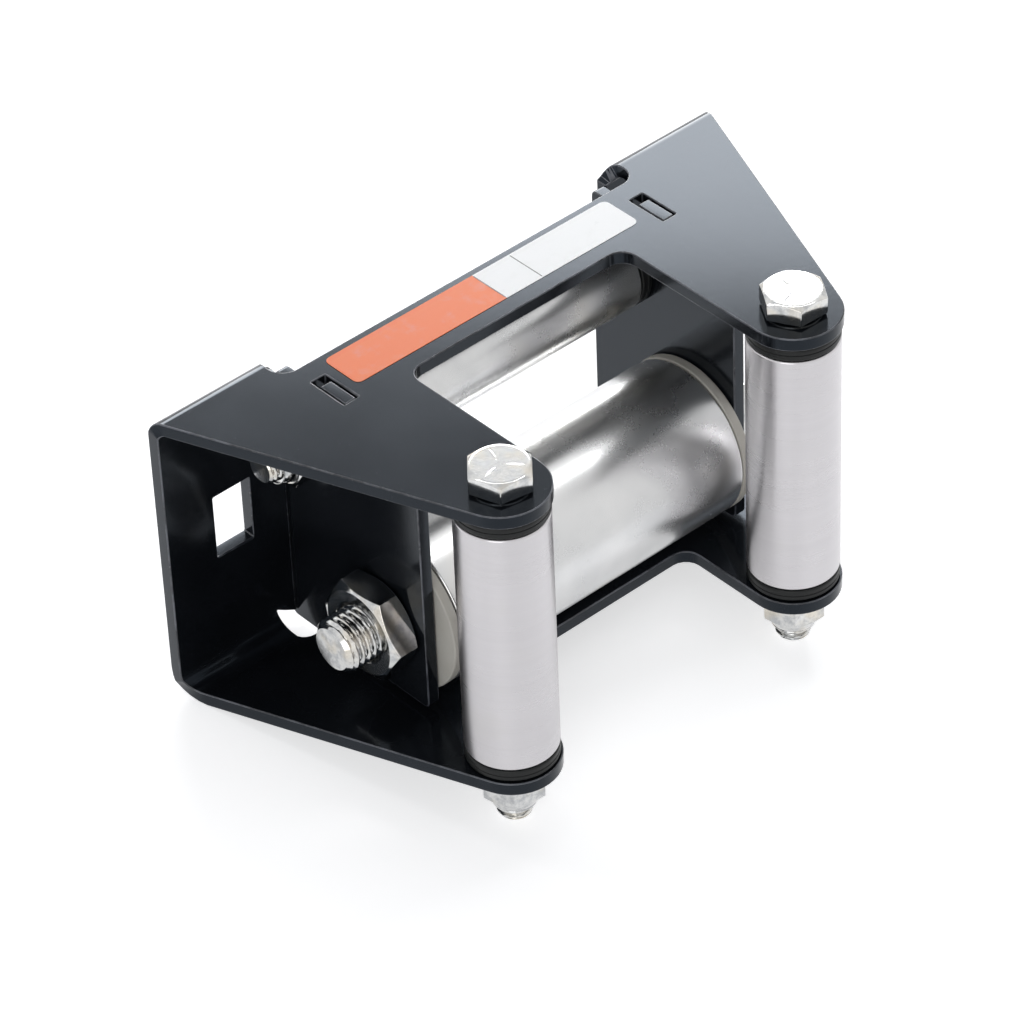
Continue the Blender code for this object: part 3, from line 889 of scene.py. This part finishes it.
def makeFloor():
    sizes = floorSet
    frontY, frontZ = sizes["frontTouch"]
    rearY, rearZ, bend = sizes["rearTouch"]
    across = Vector((rearY - frontY, rearZ - frontZ))
    slope = math.atan2(across.y, across.x) - math.asin(bend / across.length)
    steps, radius = sizes["steps"], sizes["radius"]
    angles = [2 * math.pi * k / steps for k in range(steps)]
    outline = [(radius * math.cos(a), radius * math.sin(a), 0) for a in angles]
    mesh = bpy.data.meshes.new("floor")
    mesh.from_pydata(outline, [], [tuple(range(steps))])
    floor = bpy.data.objects.new("floor", mesh)
    scene.collection.objects.link(floor)
    floor.location = (0, frontY, frontZ - sizes["gap"])
    floor.rotation_euler.x = slope
    finish = Finish("paleFloor")
    patches = finish.noise(sizes["patchScale"], detail=3) * sizes["patchShare"]
    tone = finish.mix(patches, sizes["color"], sizes["patch"])
    matte = finish.node("ShaderNodeBsdfDiffuse", {}, {"Color": tone})
    glow = finish.node("ShaderNodeEmission", {}, {
        "Color": (1, 1, 1, 1), "Strength": finish.seenPlainly() * sizes["lift"]})
    both = finish.node("ShaderNodeAddShader", {}, {0: matte.outputs[0], 1: glow.outputs[0]})
    finish.node("ShaderNodeOutputMaterial", {}, {"Surface": both.outputs[0]})
    mesh.materials.append(finish.material)


worldSet = {"seen": (1.0, 1.0, 1.0), "light": (0.93, 0.96, 1.0), "strength": 0.26}


def makeWorld():
    world = bpy.data.worlds.new("studio")
    world.use_nodes = True
    scene.world = world
    tree = Tree(world.node_tree)
    lit = tree.node("ShaderNodeBackground", {}, {
        "Color": (*worldSet["light"], 1), "Strength": worldSet["strength"]})
    shown = tree.node("ShaderNodeBackground", {}, {"Color": (*worldSet["seen"], 1), "Strength": 1.0})
    mixed = tree.node("ShaderNodeMixShader", {}, {
        0: tree.seenPlainly(), 1: lit.outputs[0], 2: shown.outputs[0]})
    tree.node("ShaderNodeOutputWorld", {}, {"Surface": mixed.outputs[0]})


lampSets = (
    {
        "name": "overhead", "place": (0.084, 0.142, 0.90), "aim": (0, 0, 0), "size": (1.3, 0.1),
        "power": 3.0,
    },
    {
        "name": "rearRight", "place": (0.55, 0.643, 0.389), "aim": (0, 0, 0), "size": (0.5, 0.48),
        "power": 7.2,
    },
    {
        "name": "frontLeft", "place": (-0.75, -0.55, 0.3), "aim": (0, -0.04, 0), "size": (0.5, 0.7),
        "power": 1.7,
    },
)


def makeLamps():
    for sizes in lampSets:
        data = bpy.data.lights.new(sizes["name"], "AREA")
        data.shape = "RECTANGLE"
        data.size, data.size_y = sizes["size"]
        data.energy = sizes["power"]
        lamp = bpy.data.objects.new(sizes["name"], data)
        scene.collection.objects.link(lamp)
        lamp.location = sizes["place"]
        aim = Vector(sizes["aim"]) - Vector(sizes["place"])
        lamp.rotation_euler = aim.to_track_quat("-Z", "Y").to_euler()
        lamp.visible_camera = False


cameraSet = {
    "place": (-0.5698435, -0.6879363, 0.7006585), "azimuth": 40.5437, "drop": 39.5567,
    "roll": -2.533, "lens": 182.496, "sensor": 36, "clip": (0.05, 20),
}


def makeCamera():
    sizes = cameraSet
    azimuth, drop, roll = (math.radians(sizes[key]) for key in ("azimuth", "drop", "roll"))
    level = math.cos(drop)
    ahead = Vector((level * math.sin(azimuth), level * math.cos(azimuth), -math.sin(drop)))
    flat = ahead.cross(Vector((0, 0, 1))).normalized()
    upright = flat.cross(ahead)
    right = math.cos(roll) * flat + math.sin(roll) * upright
    up = math.cos(roll) * upright - math.sin(roll) * flat
    data = bpy.data.cameras.new("camera")
    data.lens = sizes["lens"]
    data.sensor_width = sizes["sensor"]
    data.clip_start, data.clip_end = sizes["clip"]
    camera = bpy.data.objects.new("camera", data)
    scene.collection.objects.link(camera)
    turn = Matrix((right, up, -ahead)).transposed().to_4x4()
    camera.matrix_world = Matrix.Translation(sizes["place"]) @ turn
    scene.camera = camera


makeFloor()
makeWorld()
makeLamps()
makeCamera()
scene.view_settings.view_transform = "Standard"
print("studio made")
